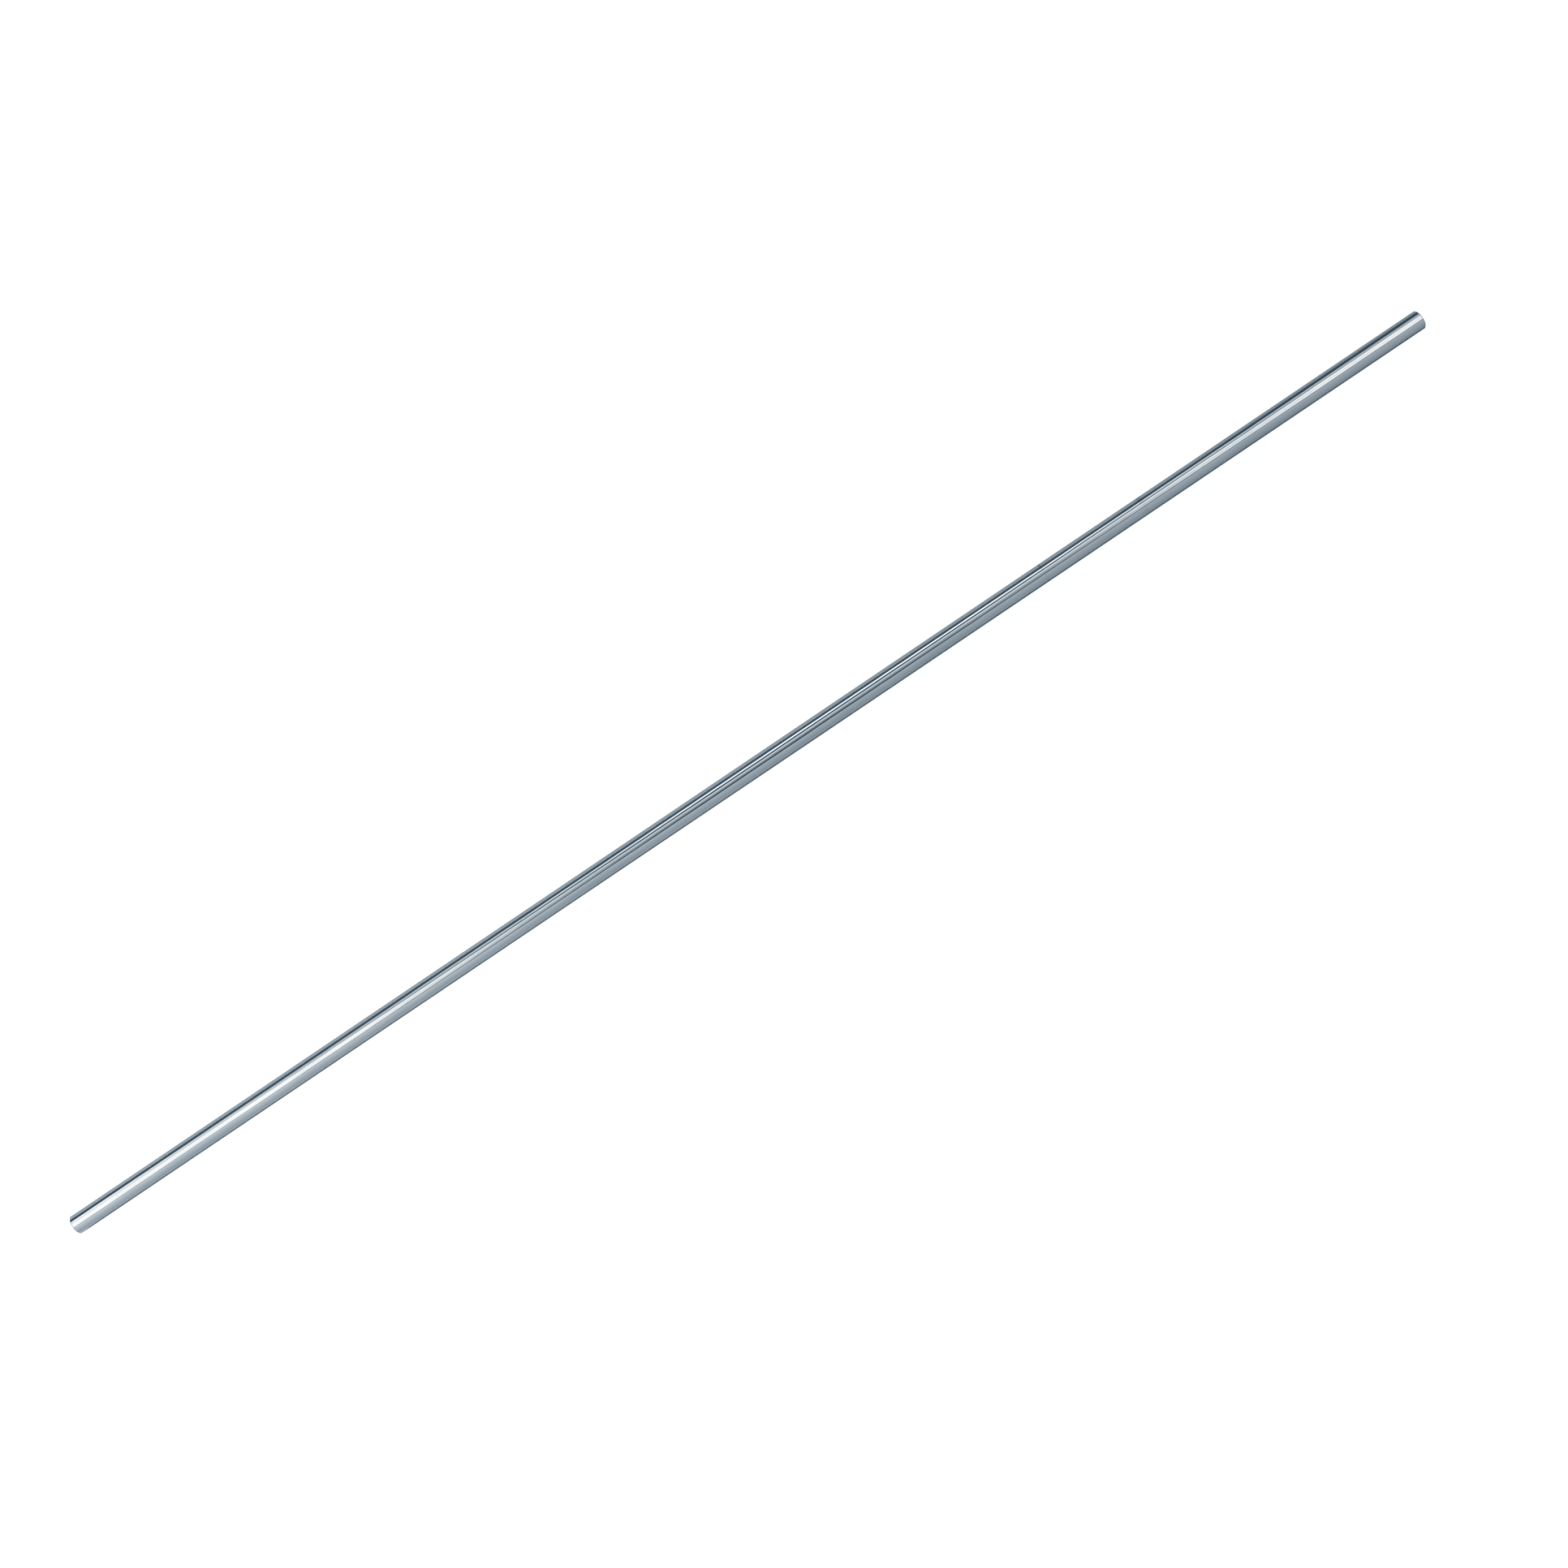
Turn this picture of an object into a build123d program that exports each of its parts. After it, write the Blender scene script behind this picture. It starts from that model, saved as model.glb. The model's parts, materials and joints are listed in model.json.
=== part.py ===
from build123d import *
import os

# Guide rod: plain round steel shaft stock, centreless ground, hard-chromed and cut to length.
# It is one piece. Both ends are faced square and chamfered, so that a bushing or a linear
# bearing starts on the rod without catching its seal.
#
# The rod lies along X with its axis on the origin, midway between its end faces, and +Z is up.

# Driving dimensions, in millimetres
rod_diameter = 10.0  # over the ground and chromed surface
rod_length = 800.0  # from one end face to the other
chamfer_length = 0.5  # along the axis, at each end
chamfer_depth = 0.5  # off the radius, at each end

# Where the half section's corners lie
rod_radius = rod_diameter / 2
face_radius = rod_radius - chamfer_depth
end_face_x = rod_length / 2
chamfer_start_x = end_face_x - chamfer_length


# The half section above the axis, turned once round it, as the rod is ground and faced
with BuildPart() as guide_rod:
    with BuildSketch(Plane.XZ) as half_section:
        with BuildLine():
            Polyline(
                (-end_face_x, 0),
                (-end_face_x, face_radius),
                (-chamfer_start_x, rod_radius),
                (chamfer_start_x, rod_radius),
                (end_face_x, face_radius),
                (end_face_x, 0),
                close=True,
            )
        make_face()
    revolve(axis=Axis.X)

guide_rod.part.label = "guide_rod"

os.makedirs("parts", exist_ok=True)
export_step(guide_rod.part, "parts/guide_rod.step")
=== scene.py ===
import json
import bpy
import numpy as np
from math import pi, radians
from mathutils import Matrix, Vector


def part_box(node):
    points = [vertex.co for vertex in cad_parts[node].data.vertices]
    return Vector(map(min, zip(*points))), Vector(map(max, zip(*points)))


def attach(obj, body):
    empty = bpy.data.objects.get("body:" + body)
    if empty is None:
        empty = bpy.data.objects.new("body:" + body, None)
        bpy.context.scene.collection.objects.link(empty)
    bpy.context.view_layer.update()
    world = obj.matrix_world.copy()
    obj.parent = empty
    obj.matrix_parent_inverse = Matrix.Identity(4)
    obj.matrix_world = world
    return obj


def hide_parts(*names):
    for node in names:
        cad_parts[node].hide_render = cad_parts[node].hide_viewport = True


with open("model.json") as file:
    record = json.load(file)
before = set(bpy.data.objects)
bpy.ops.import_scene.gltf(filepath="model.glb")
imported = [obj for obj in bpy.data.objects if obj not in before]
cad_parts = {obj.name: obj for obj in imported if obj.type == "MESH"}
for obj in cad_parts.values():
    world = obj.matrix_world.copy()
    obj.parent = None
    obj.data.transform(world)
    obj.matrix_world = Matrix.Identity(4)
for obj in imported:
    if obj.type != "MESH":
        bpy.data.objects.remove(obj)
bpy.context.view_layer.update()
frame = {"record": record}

# The looks of a plain guide rod: centreless-ground, hard-chromed steel, faced and chamfered at
# both ends. It lies along X on a pale table, and the camera looks straight down on it. Nearly
# all that shows on the polished barrel is the studio that it mirrors.
#
# Lengths are in metres. The studio is laid out by direction, in degrees. Across is the angle
# from straight up, round the rod: positive on the -Y side. Along is the angle towards +X. A
# soft edge is a pair, where it starts and where it ends. A level is a brightness, 1 for white.

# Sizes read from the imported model
rod_low, rod_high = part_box("guide_rod")
mounts = {mount["name"]: mount for mount in frame["record"]["mounts"]}
ROD_RADIUS = mounts["sliding_surface"]["dims"]["r_mm"] / 1000
ROD_HALF_LENGTH = rod_high.x
CHROMED_HALF_LENGTH = mounts["sliding_surface"]["dims"]["length_mm"] / 2000
CHAMFER = ROD_HALF_LENGTH - CHROMED_HALF_LENGTH
TABLE_HEIGHT = rod_low.z

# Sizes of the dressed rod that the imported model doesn't hold
EDGE_BREAK = 0.00012  # radius that a file leaves on the chamfer's edges
EDGE_STEPS = 7  # points round each broken edge
FACE_RINGS = 14
BARREL_RINGS = 181
TURN_STEPS = 192

# The camera, set from the rod's outline in the photograph
LENS_MM = 50
SENSOR_MM = 36
CAMERA_ABOVE_AXIS = 1.0746
CAMERA_ALONG_ROD = 0.01165
CAMERA_ACROSS_ROD = -0.01479
ROD_TILT_IN_PICTURE = radians(33.976)  # the rod climbs to the right by this much


# Shapes

def unit(vectors):
    """Each row divided by its own length."""
    return vectors / np.linalg.norm(vectors, axis=-1, keepdims=True)


def to_left(headings):
    """Each heading turned a quarter turn to the left."""
    return np.stack([-headings[..., 1], headings[..., 0]], axis=-1)


def broken_edges(corners, radius, steps):
    """Each inner corner of a polyline replaced by an arc tangent to both its sides.

    The heading turns evenly from the incoming side's to the outgoing side's. The arc starts
    radius * tan(half the turn) before the corner, and each point lies one radius from the arc's
    centre, square to the heading there. Returns points and headings, one row for each corner."""
    incoming = unit(corners[1:-1] - corners[:-2])
    outgoing = unit(corners[2:] - corners[1:-1])
    sine = (to_left(incoming) * outgoing).sum(axis=1)
    cosine = (incoming * outgoing).sum(axis=1)
    turn = np.arctan2(sine, cosine)
    side = np.sign(turn)[:, None]
    start = corners[1:-1] - incoming * (radius * np.tan(np.abs(turn) / 2))[:, None]
    centre = start + radius * side * to_left(incoming)
    start_angle = np.arctan2(incoming[:, 1], incoming[:, 0])
    angle = start_angle[:, None] + turn[:, None] * np.linspace(0, 1, steps)
    headings = np.stack([np.cos(angle), np.sin(angle)], axis=-1)
    points = centre[:, None] - radius * side[:, None] * to_left(headings)
    return points, headings


def rod_profile():
    """Half the rod's outline, as points (x, radius) and headings, from one end's centre to the
    other's: up the end face, over the chamfer, along the barrel, and the same again mirrored."""
    face_radius = ROD_RADIUS - CHAMFER
    corners = np.array([
        (-ROD_HALF_LENGTH, 0),
        (-ROD_HALF_LENGTH, face_radius),
        (-CHROMED_HALF_LENGTH, ROD_RADIUS),
        (CHROMED_HALF_LENGTH, ROD_RADIUS),
        (ROD_HALF_LENGTH, face_radius),
        (ROD_HALF_LENGTH, 0),
    ])
    arcs, arc_headings = broken_edges(corners, EDGE_BREAK, EDGE_STEPS)
    face = np.linspace(corners[0], arcs[0, 0], FACE_RINGS + 1)[:-1]
    barrel = np.linspace(arcs[1, -1], arcs[2, 0], BARREL_RINGS + 2)[1:-1]
    far_face = np.linspace(arcs[3, -1], corners[-1], FACE_RINGS + 1)[1:]
    points = [face, arcs[0], arcs[1], barrel, arcs[2], arcs[3], far_face]
    outward, along, inward = (0, 1), (1, 0), (0, -1)
    headings = [
        np.tile(outward, (len(face), 1)), arc_headings[0], arc_headings[1],
        np.tile(along, (len(barrel), 1)), arc_headings[2], arc_headings[3],
        np.tile(inward, (len(far_face), 1)),
    ]
    return np.concatenate(points), np.concatenate(headings)


def turned(rows, angles):
    """Rows (along, out) turned about X: at angle a, each is (along, out * sin a, out * cos a)."""
    turns = np.stack([np.ones(len(angles)), np.sin(angles), np.cos(angles)], axis=1)
    return rows[:, None, [0, 1, 1]] * turns


def turned_faces(ring_count, steps):
    """Quads between neighbouring rings and a fan of triangles at each pole, facing outwards, for
    vertices that run round one ring after another and end with the two poles."""
    ring, step = np.meshgrid(np.arange(ring_count - 1), np.arange(steps), indexing="ij")
    ahead = (step + 1) % steps
    here = ring * steps
    beyond = (ring + 1) * steps
    quads = np.stack([here + step, beyond + step, beyond + ahead, here + ahead], axis=-1)
    first = np.arange(steps)
    second = (first + 1) % steps
    last_ring = (ring_count - 1) * steps
    near_pole = np.full(steps, ring_count * steps)
    far_pole = near_pole + 1
    near_fan = np.stack([near_pole, first, second], axis=1)
    far_fan = np.stack([last_ring + first, far_pole, last_ring + second], axis=1)
    return quads.reshape(-1, 4).tolist() + near_fan.tolist() + far_fan.tolist()


def lay_map(points, steps):
    """A pair for each corner of those faces: u is the distance along the profile, and v the share
    of a turn. A pole takes the middle of its triangle's v."""
    distance = np.concatenate([[0], np.cumsum(np.linalg.norm(np.diff(points, axis=0), axis=1))])
    ring_u = distance[1:-1]
    ring, step = np.meshgrid(np.arange(len(ring_u) - 1), np.arange(steps), indexing="ij")
    quad_u = ring_u[np.stack([ring, ring + 1, ring + 1, ring], axis=-1)]
    quad_v = np.stack([step, step, step + 1, step + 1], axis=-1) / steps
    start = np.arange(steps)
    near_u = np.tile([0, ring_u[0], ring_u[0]], (steps, 1))
    near_v = np.stack([start + 0.5, start, start + 1], axis=1) / steps
    far_u = np.tile([ring_u[-1], distance[-1], ring_u[-1]], (steps, 1))
    far_v = np.stack([start, start + 0.5, start + 1], axis=1) / steps
    u = np.concatenate([quad_u.ravel(), near_u.ravel(), far_u.ravel()])
    v = np.concatenate([quad_v.ravel(), near_v.ravel(), far_v.ravel()])
    return np.stack([u, v], axis=-1)


def turned_mesh(name, points, headings, steps):
    """A closed surface of revolution about X, from a profile that starts and ends on the axis.

    Each inner point is turned into a ring, and so is the profile's left-hand normal there, for
    the ring's normals. Each end of the profile is one pole, which faces out along the axis."""
    angles = np.arange(steps) * (2 * pi / steps)
    rings = turned(points[1:-1], angles).reshape(-1, 3)
    ring_normals = turned(to_left(headings[1:-1]), angles).reshape(-1, 3)
    poles = [(points[0, 0], 0, 0), (points[-1, 0], 0, 0)]
    pole_normals = [(-1, 0, 0), (1, 0, 0)]

    mesh = bpy.data.meshes.new(name)
    vertices = np.concatenate([rings, poles]).tolist()
    mesh.from_pydata(vertices, [], turned_faces(len(points) - 2, steps))
    mesh.uv_layers.new(name="lay").data.foreach_set("uv", lay_map(points, steps).ravel())
    mesh.polygons.foreach_set("use_smooth", np.ones(len(mesh.polygons), dtype=bool))
    normals = np.concatenate([ring_normals, pole_normals])
    mesh.normals_split_custom_set_from_vertices(normals.tolist())
    mesh.validate()
    return mesh


def make_rod():
    """The whole rod as one surface, with the chrome on the barrel and bare steel on the ends."""
    points, headings = rod_profile()
    mesh = turned_mesh("chromed_rod", points, headings, TURN_STEPS)
    mesh.materials.append(hard_chrome())
    mesh.materials.append(turned_steel())
    centres = np.empty(len(mesh.polygons) * 3)
    mesh.polygons.foreach_get("center", centres)
    on_end = np.abs(centres[0::3]) > CHROMED_HALF_LENGTH
    mesh.polygons.foreach_set("material_index", on_end.astype(np.int32))
    rod = bpy.data.objects.new("chromed_rod", mesh)
    bpy.context.scene.collection.objects.link(rod)
    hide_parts("guide_rod")
    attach(rod, "root")


# Shader nodes

def add(tree, kind, inputs=None, **settings):
    """A new node, with its settings made and its inputs given values or wired to sockets."""
    node = tree.nodes.new(kind)
    for name, value in settings.items():
        setattr(node, name, value)
    for name, value in (inputs or {}).items():
        if isinstance(value, bpy.types.NodeSocket):
            tree.links.new(value, node.inputs[name])
        else:
            node.inputs[name].default_value = value
    return node


def calc(tree, operation, first, second=0.0):
    """The result of one sum on numbers or sockets."""
    return add(tree, "ShaderNodeMath", {0: first, 1: second}, operation=operation).outputs[0]


def times(tree, *values):
    """All the values multiplied together."""
    product = values[0]
    for value in values[1:]:
        product = calc(tree, "MULTIPLY", product, value)
    return product


def plus(tree, first, second):
    """The sum of two values."""
    return calc(tree, "ADD", first, second)


def minus(tree, first, second):
    """The first value less the second."""
    return calc(tree, "SUBTRACT", first, second)


def largest(tree, *values):
    """The largest of the values."""
    result = values[0]
    for value in values[1:]:
        result = calc(tree, "MAXIMUM", result, value)
    return result


def size_of(tree, first, second):
    """The length of an arrow with these two parts: the root of the sum of their squares."""
    squares = plus(tree, times(tree, first, first), times(tree, second, second))
    return calc(tree, "SQRT", squares)


def ramp(tree, value, edge, before=0.0, after=1.0):
    """A smooth step from one number to another over a soft edge."""
    return add(tree, "ShaderNodeMapRange", {
        "Value": value, "From Min": edge[0], "From Max": edge[1], "To Min": before, "To Max": after,
    }, interpolation_type="SMOOTHSTEP").outputs["Result"]


def within(tree, value, first_edge, last_edge):
    """1 between two soft edges, and 0 outside them."""
    return times(tree, ramp(tree, value, first_edge), ramp(tree, value, last_edge, 1, 0))


def blend(tree, share, first, second):
    """Two colours mixed by a share from 0 to 1."""
    return add(
        tree, "ShaderNodeMix", {0: share, 6: first, 7: second}, data_type="RGBA", clamp_factor=True,
    ).outputs[2]


def by_ray(tree, is_such_a_ray, others, shader):
    """One shader for rays of a kind, and another for all others."""
    return add(tree, "ShaderNodeMixShader", {0: is_such_a_ray, 1: others, 2: shader}).outputs[0]


def noise(tree, place, per_metre, detail, roughness):
    """Noise with its own number of waves to the metre along each axis."""
    drawn_out = add(tree, "ShaderNodeMapping", {"Vector": place, "Scale": per_metre})
    return add(tree, "ShaderNodeTexNoise", {
        "Vector": drawn_out.outputs[0], "Scale": 1, "Detail": detail, "Roughness": roughness,
    }).outputs["Fac"]


def relief(tree, height, depth, normal=None):
    """The normal of a surface with a relief on it: heights from 0 to 1 times its depth."""
    inputs = {"Height": height, "Strength": 1, "Distance": depth}
    if normal is not None:
        inputs["Normal"] = normal
    return add(tree, "ShaderNodeBump", inputs).outputs["Normal"]


def empty_material(name):
    """A material with no nodes yet, and its tree."""
    material = bpy.data.materials.new(name)
    material.use_nodes = True
    material.node_tree.nodes.clear()
    return material, material.node_tree


def finish_metal(tree, tint, roughness, anisotropy, normal):
    """Bare metal whose gloss is drawn out across the lay."""
    tangent = add(tree, "ShaderNodeTangent", direction_type="UV_MAP", uv_map="lay")
    metal = add(tree, "ShaderNodeBsdfPrincipled", {
        "Base Color": tint, "Metallic": 1, "Roughness": roughness, "Anisotropic": anisotropy,
        "Normal": normal, "Tangent": tangent.outputs["Tangent"]})
    add(tree, "ShaderNodeOutputMaterial", {"Surface": metal.outputs[0]})


# Finishes

CLAMP_MARKS = (
    {"edges": ((0.1749, 0.1756), (0.1760, 0.1767)), "strength": 1.0},
    {"edges": ((0.23325, 0.23395), (0.23585, 0.23655)), "strength": 0.7},
)
MARK_SIDE = (0.0012, 0.0042)  # a mark gathers strength over this stretch of y
MARK_FAINTEST = 0.18  # share of its strength before that
MARK_PATCHES = {"per_metre": (500, 350, 350), "detail": 2, "roughness": 0.5}
PATCH_EDGE = (0.35, 0.55)
PATCH_FAINTEST = 0.65


def ring_marks(tree, place):
    """Two faint patchy rings round the barrel, such as clamps leave, darkest on the +Y side."""
    x, y, z = add(tree, "ShaderNodeSeparateXYZ", {"Vector": place}).outputs
    patchy = ramp(tree, noise(tree, place, **MARK_PATCHES), PATCH_EDGE, PATCH_FAINTEST, 1)
    fading = times(tree, patchy, ramp(tree, y, MARK_SIDE, MARK_FAINTEST, 1))
    first, second = (
        times(tree, within(tree, x, *mark["edges"]), mark["strength"]) for mark in CLAMP_MARKS)
    return times(tree, largest(tree, first, second), fading)


CHROME_TINT = (0.56, 0.60, 0.63, 1)
CHROME_HAZE_TINT = (0.52, 0.565, 0.60, 1)
CHROME_MARK_TINT = (0.30, 0.335, 0.36, 1)
CHROME_ROUGHNESS = (0.07, 0.09)  # where it is clear, and where it is hazy
CHROME_ANISOTROPY = 1
STREAK_ROUGHNESS = 0.01  # more or less than that, from streak to streak of the lay
MARK_ROUGHNESS = 0.05  # more than that in a ring mark
LAY = {"per_metre": (2600, 70, 70), "detail": 3, "roughness": 0.6}
LAY_EDGE = (0.3, 0.7)
LAY_DEPTH = 0.0000006
HAZE = {"per_metre": (28, 110, 110), "detail": 4, "roughness": 0.55}
HAZE_TINT_EDGE = (0.42, 0.68)
HAZE_ROUGHNESS_EDGE = (0.3, 0.75)
RIPPLE = {"per_metre": (45, 120, 120), "detail": 2, "roughness": 0.5}
RIPPLE_DEPTH = 0.00008


def hard_chrome():
    """Ground, chromed and polished barrel.

    The grinding lay runs round the rod, so slopes vary along it: the gloss is blurred along the
    axis and sharp across it. The lay itself is noise drawn out round the rod, with a haze that
    comes and goes over centimetres, and a faint ripple makes the mirrored edges waver."""
    material, tree = empty_material("hard_chrome")
    place = add(tree, "ShaderNodeTexCoord").outputs["Object"]
    lay = noise(tree, place, **LAY)
    haze = noise(tree, place, **HAZE)
    ripple = noise(tree, place, **RIPPLE)
    marks = ring_marks(tree, place)

    tint = blend(tree, ramp(tree, haze, HAZE_TINT_EDGE), CHROME_TINT, CHROME_HAZE_TINT)
    tint = blend(tree, marks, tint, CHROME_MARK_TINT)
    streaks = ramp(tree, lay, LAY_EDGE, -STREAK_ROUGHNESS, STREAK_ROUGHNESS)
    roughness = plus(tree, ramp(tree, haze, HAZE_ROUGHNESS_EDGE, *CHROME_ROUGHNESS), streaks)
    roughness = plus(tree, roughness, times(tree, marks, MARK_ROUGHNESS))
    scratched = relief(tree, lay, LAY_DEPTH)
    rippled = relief(tree, ripple, RIPPLE_DEPTH, scratched)
    finish_metal(tree, tint, roughness, CHROME_ANISOTROPY, rippled)
    return material


STEEL_TINT = (0.45, 0.47, 0.485, 1)
STEEL_GROOVE_TINT = (0.36, 0.385, 0.405, 1)
STEEL_ROUGHNESS = (0.38, 0.26)  # in the grooves, and on the crests between them
STEEL_ANISOTROPY = 0.6
GROOVES = {"per_metre": (9000, 0, 0), "detail": 2, "roughness": 0.5}
GROOVE_TINT_EDGE = (0.35, 0.65)
GROOVE_ROUGHNESS_EDGE = (0.3, 0.7)
GROOVE_DEPTH = 0.000006


def turned_steel():
    """Bare steel of the end faces and chamfers, cut on a lathe: fine concentric feed marks whose
    height follows the distance from the axis."""
    material, tree = empty_material("turned_steel")
    place = add(tree, "ShaderNodeTexCoord").outputs["Object"]
    x, y, z = add(tree, "ShaderNodeSeparateXYZ", {"Vector": place}).outputs
    from_axis = add(tree, "ShaderNodeCombineXYZ", {"X": size_of(tree, y, z)})
    grooves = noise(tree, from_axis.outputs[0], **GROOVES)

    tint = blend(tree, ramp(tree, grooves, GROOVE_TINT_EDGE), STEEL_GROOVE_TINT, STEEL_TINT)
    roughness = ramp(tree, grooves, GROOVE_ROUGHNESS_EDGE, *STEEL_ROUGHNESS)
    finish_metal(tree, tint, roughness, STEEL_ANISOTROPY, relief(tree, grooves, GROOVE_DEPTH))
    return material


# Studio, as the polished metal mirrors it

NEUTRAL = (1, 1, 1)
LAMP_WHITE = (1, 1, 0.97)


def tone(level, tint=NEUTRAL):
    """A tint at a level, as a node colour."""
    return (tint[0] * level, tint[1] * level, tint[2] * level, 1)


RIG_SPAN = (-2, 2)  # what is beside the camera's rig, along the rod


def by_the_rig(tree, along, left_end, left_share, right_end, right_share):
    """1 beside the rig, fading along the rod to one share at the left and another at the right."""
    left = ramp(tree, along, (left_end, RIG_SPAN[0]), left_share, 1)
    right = ramp(tree, along, (RIG_SPAN[1], right_end), 1, right_share)
    return times(tree, left, right)


CEILING_LEVEL = 1.21
SHADE_LEVEL = 0.54
SHADE_ACROSS = (-19.5, -10.5)
SHADE_ALONG = ((-13.5, -5.5), (10, 18))
RIG_LEVEL = 0.12
RIG_ACROSS, RIG_ALONG = 8, 1
RIG_HALF_HEIGHT, RIG_HALF_WIDTH = 16, 9


def ceiling(tree, across, along):
    """The pale ceiling, with the shade of the rig that hangs below it: an even grey square with
    soft edges, and in it a dark oval that fades outwards."""
    high = calc(tree, "DIVIDE", minus(tree, across, RIG_ACROSS), RIG_HALF_HEIGHT)
    wide = calc(tree, "DIVIDE", minus(tree, along, RIG_ALONG), RIG_HALF_WIDTH)
    outwards = ramp(tree, size_of(tree, high, wide), (0, 1))
    rig = blend(tree, outwards, tone(RIG_LEVEL), tone(SHADE_LEVEL))
    shade = times(tree, ramp(tree, across, SHADE_ACROSS), within(tree, along, *SHADE_ALONG))
    return blend(tree, shade, tone(CEILING_LEVEL), rig)


LEFT_BOX_LEVEL = 1.65
LEFT_BOX_ACROSS = ((-70, -56), (6, 18))
LEFT_BOX_END = (-14.5, -6.5)
RIGHT_BOX_LEVEL = 1.6
RIGHT_BOX_ACROSS = ((-42, -34), (15, 16))
RIGHT_BOX_START = (9, 17)
GAP_LEVEL = 1.2
GAP_ACROSS = ((-20.5, -13.5), (-9.5, -2.5))


def soft_boxes(tree, across, along, behind):
    """Large soft boxes to the left and right of the rig, in front of what is behind them. The
    right one is a pair with a narrow gap between them."""
    left = times(
        tree, within(tree, across, *LEFT_BOX_ACROSS), ramp(tree, along, LEFT_BOX_END, 1, 0))
    right = times(
        tree, within(tree, across, *RIGHT_BOX_ACROSS), ramp(tree, along, RIGHT_BOX_START))
    gap = within(tree, across, *GAP_ACROSS)
    pair = blend(tree, gap, tone(RIGHT_BOX_LEVEL, LAMP_WHITE), tone(GAP_LEVEL, LAMP_WHITE))
    lit = blend(tree, left, behind, tone(LEFT_BOX_LEVEL, LAMP_WHITE))
    return blend(tree, right, lit, pair)


STRIP_LEVEL = 0.98
STRIP_EDGE = (-51, -45)
STRIP_MIDDLE_LEVEL = 2.75
STRIP_MIDDLE_ALONG = ((-12.5, 7.5), (1.5, 21.5))
STRIP_LEFT_LEVEL = 3.3
STRIP_LEFT_ALONG = (-26, -15)
RAIL_LEVEL = 0.05
RAIL_OUTER_EDGE = (-42.95, -39.45)
RAIL_INNER_EDGE = (-26.95, -23.45)
RAIL_BOW = 0.046  # of the outer edge, in degrees for each square degree along
RAIL_BOW_LIMIT = 9
RAIL_INNER_BOW = 0.7  # of the outer edge's bow
RAIL_FADE = {"left_end": -24, "left_share": 0.15, "right_end": 25, "right_share": 0.45}


def strip_lamp(tree, across, along, behind):
    """A long strip lamp low on the +Y side, brightest beside the rig and at its left end, with
    the dark rail that carries it.

    The rail bows outwards by the square of the angle along, up to a limit, and its inner edge
    bows less than its outer one."""
    in_middle = within(tree, along, *STRIP_MIDDLE_ALONG)
    level = blend(tree, in_middle, tone(STRIP_LEVEL), tone(STRIP_MIDDLE_LEVEL))
    level = blend(tree, ramp(tree, along, STRIP_LEFT_ALONG, 1, 0), level, tone(STRIP_LEFT_LEVEL))
    lit = blend(tree, ramp(tree, across, STRIP_EDGE, 1, 0), behind, level)

    bow = calc(tree, "MINIMUM", times(tree, along, along, RAIL_BOW), RAIL_BOW_LIMIT)
    outer = ramp(tree, plus(tree, across, bow), RAIL_OUTER_EDGE)
    inner = ramp(
        tree, plus(tree, across, times(tree, bow, RAIL_INNER_BOW)), RAIL_INNER_EDGE, 1, 0)
    rail = times(tree, outer, inner, by_the_rig(tree, along, **RAIL_FADE))
    return blend(tree, rail, lit, tone(RAIL_LEVEL))


WALL_START = (18.3, 18.5)
WALL_TOP_EDGE = (26, 38)
PLAIN_WALL = {"top": 0.69, "face": 0.56, "foot": 0.468, "foot_edge": (44, 80)}
LIT_WALL = {"top": 1.06, "face": 0.8, "foot": 0.59, "foot_edge": (40, 86)}
LIT_WALL_END = (-24, 6)


def wall(tree, across, top, face, foot, foot_edge):
    """A grey wall's levels by its height: bright along its top, even over its face, and darker
    towards its foot."""
    low = blend(tree, ramp(tree, across, foot_edge), tone(face), tone(foot))
    return blend(tree, ramp(tree, across, WALL_TOP_EDGE, 1, 0), low, tone(top))


SEAM_LEVEL = 0.02
SEAM_UPPER_EDGE = (4, 12)
SEAM_LOWER_EDGE = (14.8, 22.8)
SEAM_SAG = 2.2  # of the lower edge, away from the rig
SEAM_SAG_EDGE = (5, 15)
SEAM_UPPER_SAG = 0.5  # of the lower edge's sag
SEAM_FADE = {"left_end": -16, "left_share": 0.38, "right_end": 16, "right_share": 0.58}


def dark_seam(tree, across, along):
    """How dark the seam is between the lamps overhead and the wall. Away from the rig it fades,
    and it sags, its upper edge less than its lower one."""
    from_rig = calc(tree, "ABSOLUTE", minus(tree, along, RIG_ALONG))
    sag = ramp(tree, from_rig, SEAM_SAG_EDGE, 0, SEAM_SAG)
    upper = ramp(tree, minus(tree, across, times(tree, sag, SEAM_UPPER_SAG)), SEAM_UPPER_EDGE)
    lower = ramp(tree, minus(tree, across, sag), SEAM_LOWER_EDGE, 1, 0)
    return times(tree, upper, lower, by_the_rig(tree, along, **SEAM_FADE))


FLAG_EDGE = (-61.2, -53.2)
FLAG_LEVELS = (0.117, 0.102)  # at its left and at its right
FLAG_ALONG = (2, 16)


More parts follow.
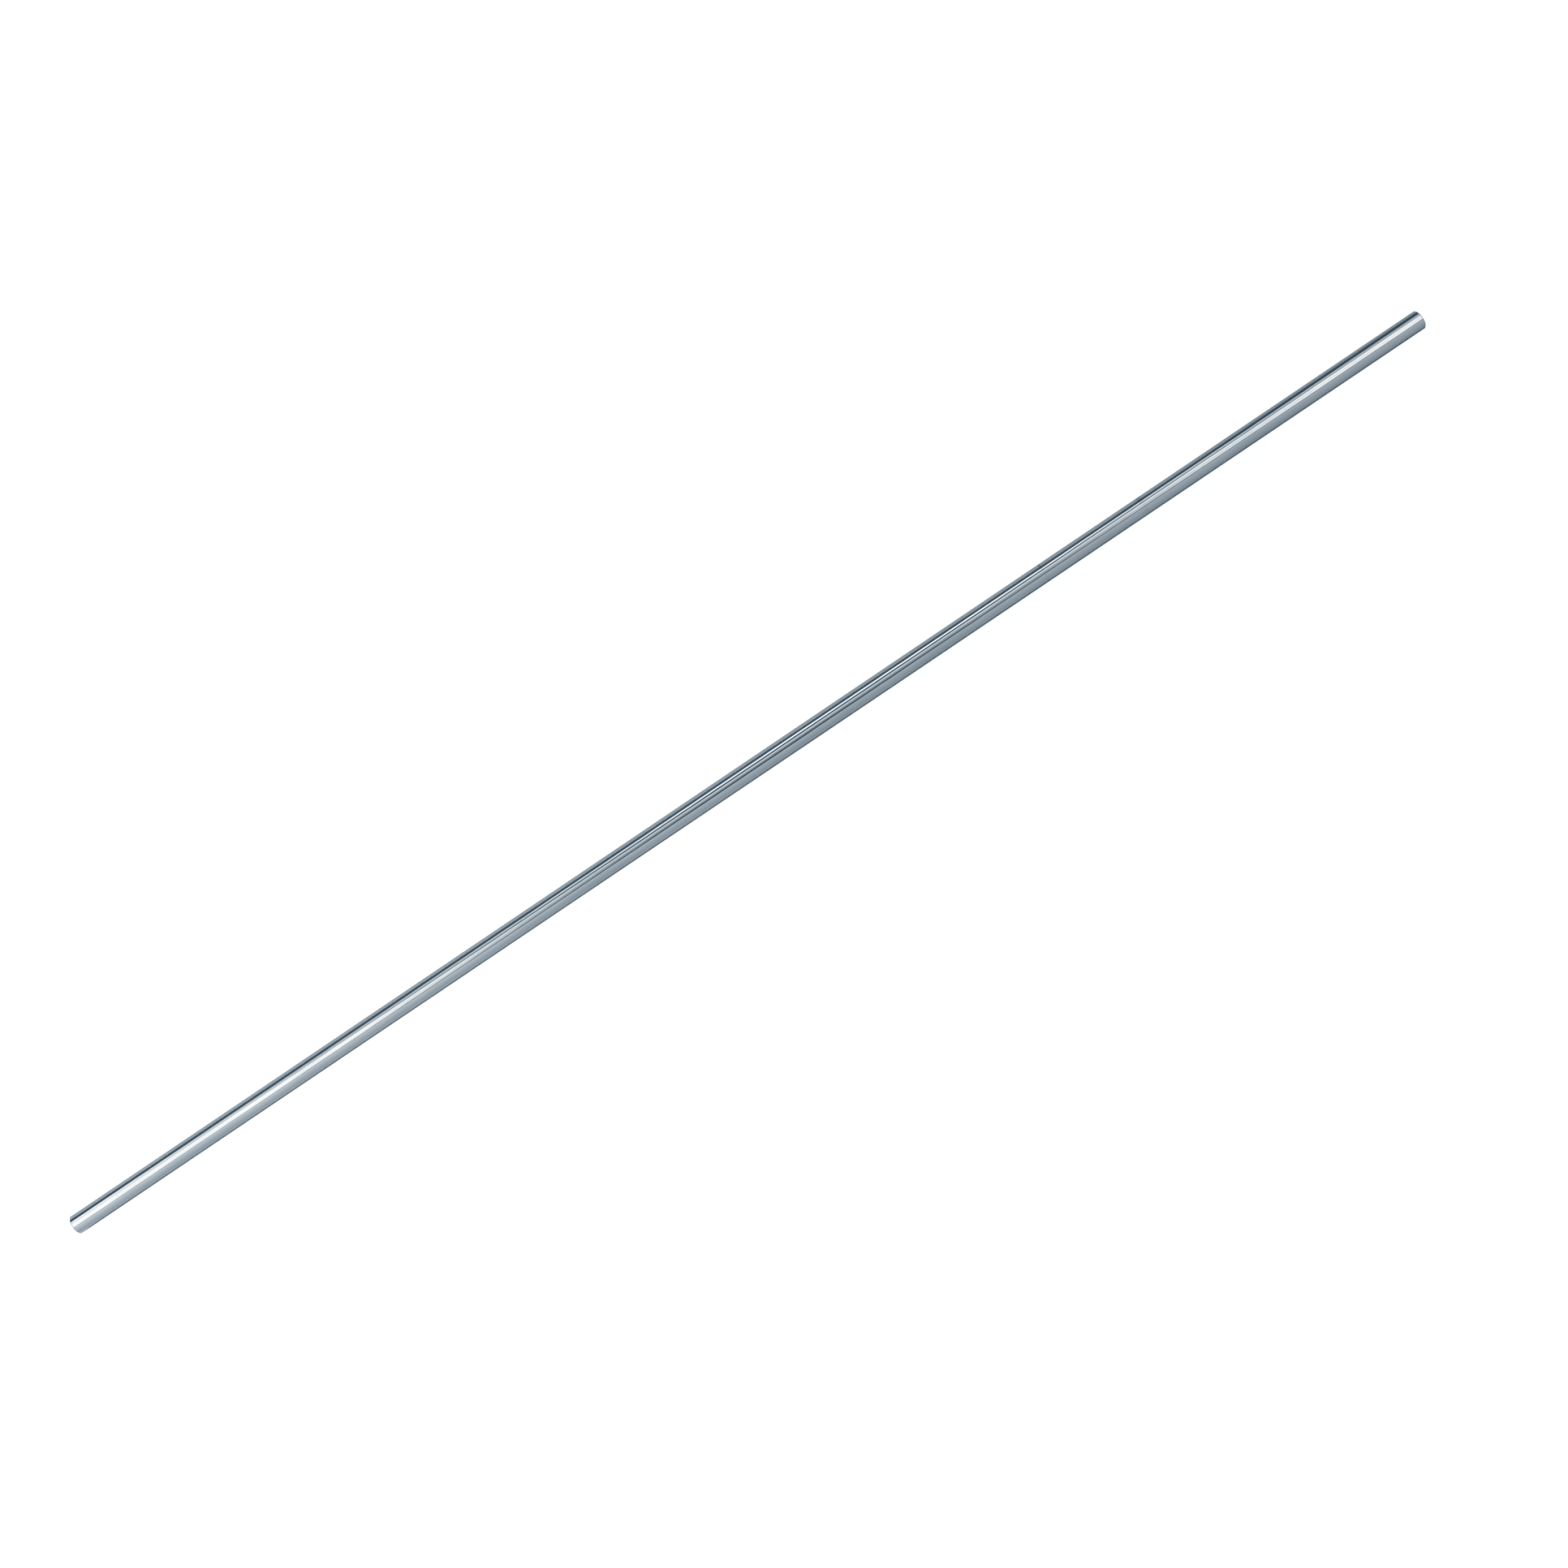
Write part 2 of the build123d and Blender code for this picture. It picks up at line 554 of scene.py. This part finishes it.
def mirrored_studio(tree):
    """All that the polished metal mirrors above the table, by direction.

    Across is the angle whose tangent is -y / z, and along is the angle whose sine is x. A grey
    wall stands on the -Y side, brighter to the left. The soft boxes hang overhead and end at a
    dark seam against it, and on the +Y side a black flag closes the view down to the table."""
    direction = add(tree, "ShaderNodeTexCoord").outputs["Generated"]
    x, y, z = add(tree, "ShaderNodeSeparateXYZ", {"Vector": direction}).outputs
    across = calc(tree, "DEGREES", calc(tree, "ARCTAN2", times(tree, y, -1), z))
    along = calc(tree, "DEGREES", calc(tree, "ARCSINE", x))

    overhead = ceiling(tree, across, along)
    overhead = soft_boxes(tree, across, along, overhead)
    overhead = strip_lamp(tree, across, along, overhead)
    plain_wall = wall(tree, across, **PLAIN_WALL)
    lit_wall = wall(tree, across, **LIT_WALL)
    walls = blend(tree, ramp(tree, along, LIT_WALL_END, 1, 0), plain_wall, lit_wall)
    around = blend(tree, ramp(tree, across, WALL_START), overhead, walls)
    around = blend(tree, dark_seam(tree, across, along), around, tone(SEAM_LEVEL))
    left_flag, right_flag = FLAG_LEVELS
    flag = blend(tree, ramp(tree, along, FLAG_ALONG), tone(left_flag), tone(right_flag))
    return blend(tree, ramp(tree, across, FLAG_EDGE, 1, 0), around, flag)


BACKDROP_LEVEL = 1.1
FILL_LEVEL = 0.35


def make_world():
    """Plain white to the camera, the studio to the metal, and a soft even fill to the table."""
    world = bpy.data.worlds.new("studio")
    bpy.context.scene.world = world
    world.use_nodes = True
    tree = world.node_tree
    tree.nodes.clear()
    ray = add(tree, "ShaderNodeLightPath").outputs
    fill = add(tree, "ShaderNodeBackground", {"Color": tone(FILL_LEVEL, LAMP_WHITE)})
    studio = add(tree, "ShaderNodeBackground", {"Color": mirrored_studio(tree)})
    backdrop = add(tree, "ShaderNodeBackground", {"Color": tone(BACKDROP_LEVEL)})
    light = by_ray(tree, ray["Is Glossy Ray"], fill.outputs[0], studio.outputs[0])
    light = by_ray(tree, ray["Is Camera Ray"], light, backdrop.outputs[0])
    add(tree, "ShaderNodeOutputWorld", {"Surface": light})


# Table

TABLE_REACH = 30
TABLE_TINT = (0.955, 1, 1.01)  # the print's tones turn its greys neutral
TABLE_BASE = 0.1  # the little of the lamps' light and shade that shows on top of the glow
TABLE_GLOW = 0.97
# Painted pool of light: the table glows brighter towards the left end.
PAINTED_LEFT_GLOW = 1.22
TABLE_GLOW_ALONG = (-0.25, 0.1)
TABLE_END = (0.6, 3)  # it melts into the backdrop over these distances
# Painted contact shadow: the table's glow is darkened where the rod touches it.
CONTACT_SHADOW_GLOW = 0.3  # share of the glow left where the rod touches the table
CONTACT_SHADOW_HALF_WIDTH = 0.97 * ROD_RADIUS
ROD_END_EDGE = (ROD_HALF_LENGTH - 0.002, ROD_HALF_LENGTH + 0.002)


def painted_contact_shadow(tree, x, y):
    """Mask of the painted contact shadow: 1 along the line where the rod touches the table, fading
    to 0 below its widest part.
    """
    across = ramp(tree, calc(tree, "ABSOLUTE", y), (0, CONTACT_SHADOW_HALF_WIDTH), 1, 0)
    along = ramp(tree, calc(tree, "ABSOLUTE", x), ROD_END_EDGE, 1, 0)
    return times(tree, across, along)


def table_glow(tree, x, y):
    """How bright the table glows before its own shading: a painted pool of light that brightens the
    left end, a painted contact shadow where the rod touches it, and brighter far away, so that it
    melts into the backdrop."""
    near = ramp(tree, x, TABLE_GLOW_ALONG, PAINTED_LEFT_GLOW, TABLE_GLOW)
    even = ramp(tree, size_of(tree, x, y), TABLE_END, near, BACKDROP_LEVEL)
    # The glow, darkened by the painted contact shadow under the rod.
    return times(tree, even, ramp(tree, painted_contact_shadow(tree, x, y), (0, 1), 1, CONTACT_SHADOW_GLOW))


# The separate copy of the table that only the rod mirrors, with painted light and painted shade, and
# soft edges in metres along x and y
MIRRORED_TABLE = 0.33
MIRRORED_LIT_TABLE = 0.37
MIRRORED_SHADE = 0.06
LIT_TABLE_X, LIT_TABLE_Y = (-0.2, 0.25), (-0.004, 0.004)
CONTACT_X, CONTACT_Y = (-0.35, 0.15), ((-0.017, -0.009), (-0.004, 0))
CONTACT_SHADE = (0.1, 0.62)  # at its left and at its right
FLAG_SHADE_X, FLAG_SHADE_Y = (0.2, 0.5), (0.012, 0.09)
FAR_SHADE_X, FAR_SHADE_Y = (-0.35, 0.05), (0.02, 0.2)
FAR_SHADE = 0.5
NEAR_SHADE_Y = ((0, 0.004), (0.01, 0.026))
NEAR_SHADE = 0.13


def mirrored_table(tree, x, y):
    """A separate copy of the table that only the rod mirrors, a painted reflection: mid grey, with
    painted light a little lighter at the left of the -Y side, and painted shade close to the rod on
    both sides and towards the flag's foot on the +Y side."""
    # Painted shade: beside the rod on the -Y side, towards the flag's foot at the right, on the far
    # +Y side at the left, and close to the rod on the +Y side.
    contact = times(
        tree, within(tree, y, *CONTACT_Y), ramp(tree, x, CONTACT_X, *CONTACT_SHADE))
    by_flag = times(tree, ramp(tree, x, FLAG_SHADE_X), ramp(tree, y, FLAG_SHADE_Y))
    far = times(tree, ramp(tree, x, FAR_SHADE_X, FAR_SHADE, 0), ramp(tree, y, FAR_SHADE_Y))
    near = times(tree, within(tree, y, *NEAR_SHADE_Y), NEAR_SHADE)
    shade = largest(tree, contact, by_flag, far, near)
    # Painted light: a little lighter at the left of the -Y side.
    lit = times(tree, ramp(tree, y, LIT_TABLE_Y, 1, 0), ramp(tree, x, LIT_TABLE_X, 1, 0))
    plain = blend(tree, lit, tone(MIRRORED_TABLE), tone(MIRRORED_LIT_TABLE))
    return blend(tree, shade, plain, tone(MIRRORED_SHADE))


PLAIN_TABLE = 0.5  # its level to rays that come from neither the camera nor the metal


def matt(tree, inputs):
    """A matt surface with no gloss at all."""
    return add(
        tree, "ShaderNodeBsdfPrincipled", {"Roughness": 1, "Specular IOR Level": 0, **inputs},
    ).outputs[0]


def make_table():
    """A wide pale table under the rod. The camera sees it glow burnt out white with a trace of its
    shading, as in a catalogue shot, with a painted pool of light at the left and a painted contact
    shadow under the rod. The rod mirrors instead a separate mid-grey copy of it, with painted light
    and painted shade."""
    mesh = bpy.data.meshes.new("table")
    corners = [(x * TABLE_REACH, y * TABLE_REACH) for x, y in ((-1, -1), (1, -1), (1, 1), (-1, 1))]
    mesh.from_pydata([(x, y, TABLE_HEIGHT) for x, y in corners], [], [(0, 1, 2, 3)])
    material, tree = empty_material("pale_table")
    place = add(tree, "ShaderNodeTexCoord").outputs["Object"]
    x, y, z = add(tree, "ShaderNodeSeparateXYZ", {"Vector": place}).outputs
    plain = matt(tree, {"Base Color": tone(PLAIN_TABLE, LAMP_WHITE)})
    # The copy that only the rod mirrors: mid grey, with painted light and painted shade.
    mirrored = matt(tree, {"Base Color": mirrored_table(tree, x, y)})
    burnt_out = matt(tree, {
        "Base Color": tone(TABLE_BASE), "Emission Color": tone(1, TABLE_TINT),
        "Emission Strength": table_glow(tree, x, y)})
    ray = add(tree, "ShaderNodeLightPath").outputs
    look = by_ray(tree, ray["Is Glossy Ray"], plain, mirrored)
    look = by_ray(tree, ray["Is Camera Ray"], look, burnt_out)
    add(tree, "ShaderNodeOutputMaterial", {"Surface": look})
    mesh.materials.append(material)
    table = bpy.data.objects.new("table", mesh)
    bpy.context.scene.collection.objects.link(table)


# Lamps, camera and print

def make_lamp(name, place, size, watts):
    """A square soft box aimed at the rod. Only the table sees it: the metal mirrors the world's."""
    light = bpy.data.lights.new(name, "AREA")
    light.shape = "SQUARE"
    light.size = size
    light.energy = watts
    lamp = bpy.data.objects.new(name, light)
    lamp.location = place
    lamp.rotation_euler = (-Vector(place)).to_track_quat("-Z", "Y").to_euler()
    lamp.visible_glossy = False
    lamp.visible_camera = False
    bpy.context.scene.collection.objects.link(lamp)


def make_camera():
    """A camera that looks straight down, turned so that the rod climbs to the right."""
    camera = bpy.data.objects.new("camera", bpy.data.cameras.new("camera"))
    camera.data.lens = LENS_MM
    camera.data.sensor_width = SENSOR_MM
    camera.location = (CAMERA_ALONG_ROD, CAMERA_ACROSS_ROD, CAMERA_ABOVE_AXIS)
    camera.rotation_euler = (0, 0, -ROD_TILT_IN_PICTURE)
    bpy.context.scene.collection.objects.link(camera)
    bpy.context.scene.camera = camera


# Points (light, printed light) on the print's curves
RED_TONES = (
    (0.05, 0.03), (0.13, 0.103), (0.3, 0.267), (0.5, 0.48), (0.7, 0.7), (0.87, 0.925), (0.95, 0.977),
)
BLUE_TONES = ((0.06, 0.08), (0.2, 0.227), (0.35, 0.379), (0.5, 0.523), (0.8, 0.8), (0.95, 0.938))


def set_print_tones():
    """The print's tones: plain display tones, but darks lean to blue, as on a cool catalogue
    print. Black, white and the greens stay as they are."""
    view = bpy.context.scene.view_settings
    view.view_transform = "Standard"
    view.use_curve_mapping = True
    red, _, blue, _ = view.curve_mapping.curves
    for curve, points in ((red, RED_TONES), (blue, BLUE_TONES)):
        for light, printed_light in points:
            curve.points.new(light, printed_light)
    view.curve_mapping.update()


make_rod()
make_table()
make_world()
make_lamp("overhead_lamp", place=(-0.3, 0.2, 1.9), size=1.2, watts=16)
make_lamp("side_lamp", place=(-0.7, 1.3, 0.62), size=0.55, watts=62)
make_camera()
set_print_tones()
